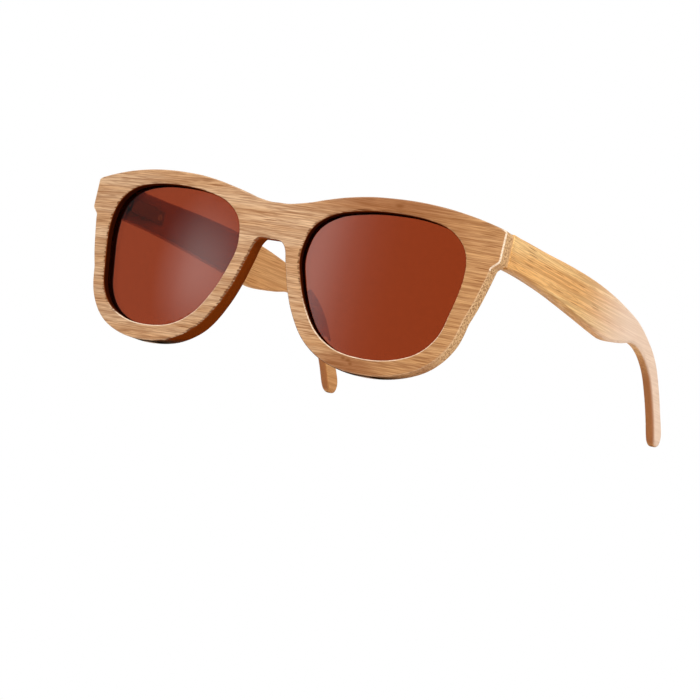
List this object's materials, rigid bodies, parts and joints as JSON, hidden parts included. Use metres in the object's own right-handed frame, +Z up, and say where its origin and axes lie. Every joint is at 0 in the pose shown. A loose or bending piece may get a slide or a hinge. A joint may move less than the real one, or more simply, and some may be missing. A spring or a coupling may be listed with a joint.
{
  "type": "wooden sunglasses",
  "caption": "Wood-framed sunglasses with brown tinted lenses; the temples fold on sprung metal hinges and end in ear hooks.",
  "frame": {"origin": "centre of the bounding box at the bottom of the rims", "axes": "+X to the right as seen from the front, +Y from the front back along the open temples, +Z up"},
  "size_m": [0.145, 0.1511, 0.0523],
  "materials": {
    "front_wood": "satin",
    "temple_wood": "satin",
    "lens_tint": "gloss",
    "hinge_steel": "satin",
    "spring_steel": "satin"
  },
  "bodies": {
    "front": {"front_frame": "front_wood", "left_lens": "lens_tint", "right_lens": "lens_tint", "left_front_leaf": "hinge_steel", "right_front_leaf": "hinge_steel", "left_leaf_screws": "hinge_steel", "right_leaf_screws": "hinge_steel", "left_hinge_screw": "hinge_steel", "right_hinge_screw": "hinge_steel"},
    "left_slide_body": {"left_slider": "hinge_steel", "left_slider_stop": "hinge_steel"},
    "left_temple_body": {"left_temple": "temple_wood", "left_spring_case": "hinge_steel", "left_case_screws": "hinge_steel", "left_spring": "spring_steel"},
    "right_slide_body": {"right_slider": "hinge_steel", "right_slider_stop": "hinge_steel"},
    "right_temple_body": {"right_temple": "temple_wood", "right_spring_case": "hinge_steel", "right_case_screws": "hinge_steel", "right_spring": "spring_steel"}
  },
  "joints": [
    {"name": "left_temple_fold", "type": "hinge", "parent": "front", "child": "left_slide_body", "pos_m": [-0.0662, -0.05899, 0.04301], "axis": [0, 0, -1], "range_deg": [0, 88.5]},
    {"name": "left_temple_flex", "type": "slide", "parent": "left_slide_body", "child": "left_temple_body", "axis": [0.061, 0.9981, 0], "range_m": [0, 0.0015], "stiffness_N_per_m": 1200, "springref_m": -0.001, "deforming": ["left_spring"]},
    {"name": "right_temple_fold", "type": "hinge", "parent": "front", "child": "right_slide_body", "pos_m": [0.0662, -0.05899, 0.04301], "axis": [0, 0, 1], "range_deg": [0, 84]},
    {"name": "right_temple_flex", "type": "slide", "parent": "right_slide_body", "child": "right_temple_body", "axis": [-0.061, 0.9981, 0], "range_m": [0, 0.0015], "stiffness_N_per_m": 1200, "springref_m": -0.001, "deforming": ["right_spring"]}
  ]
}
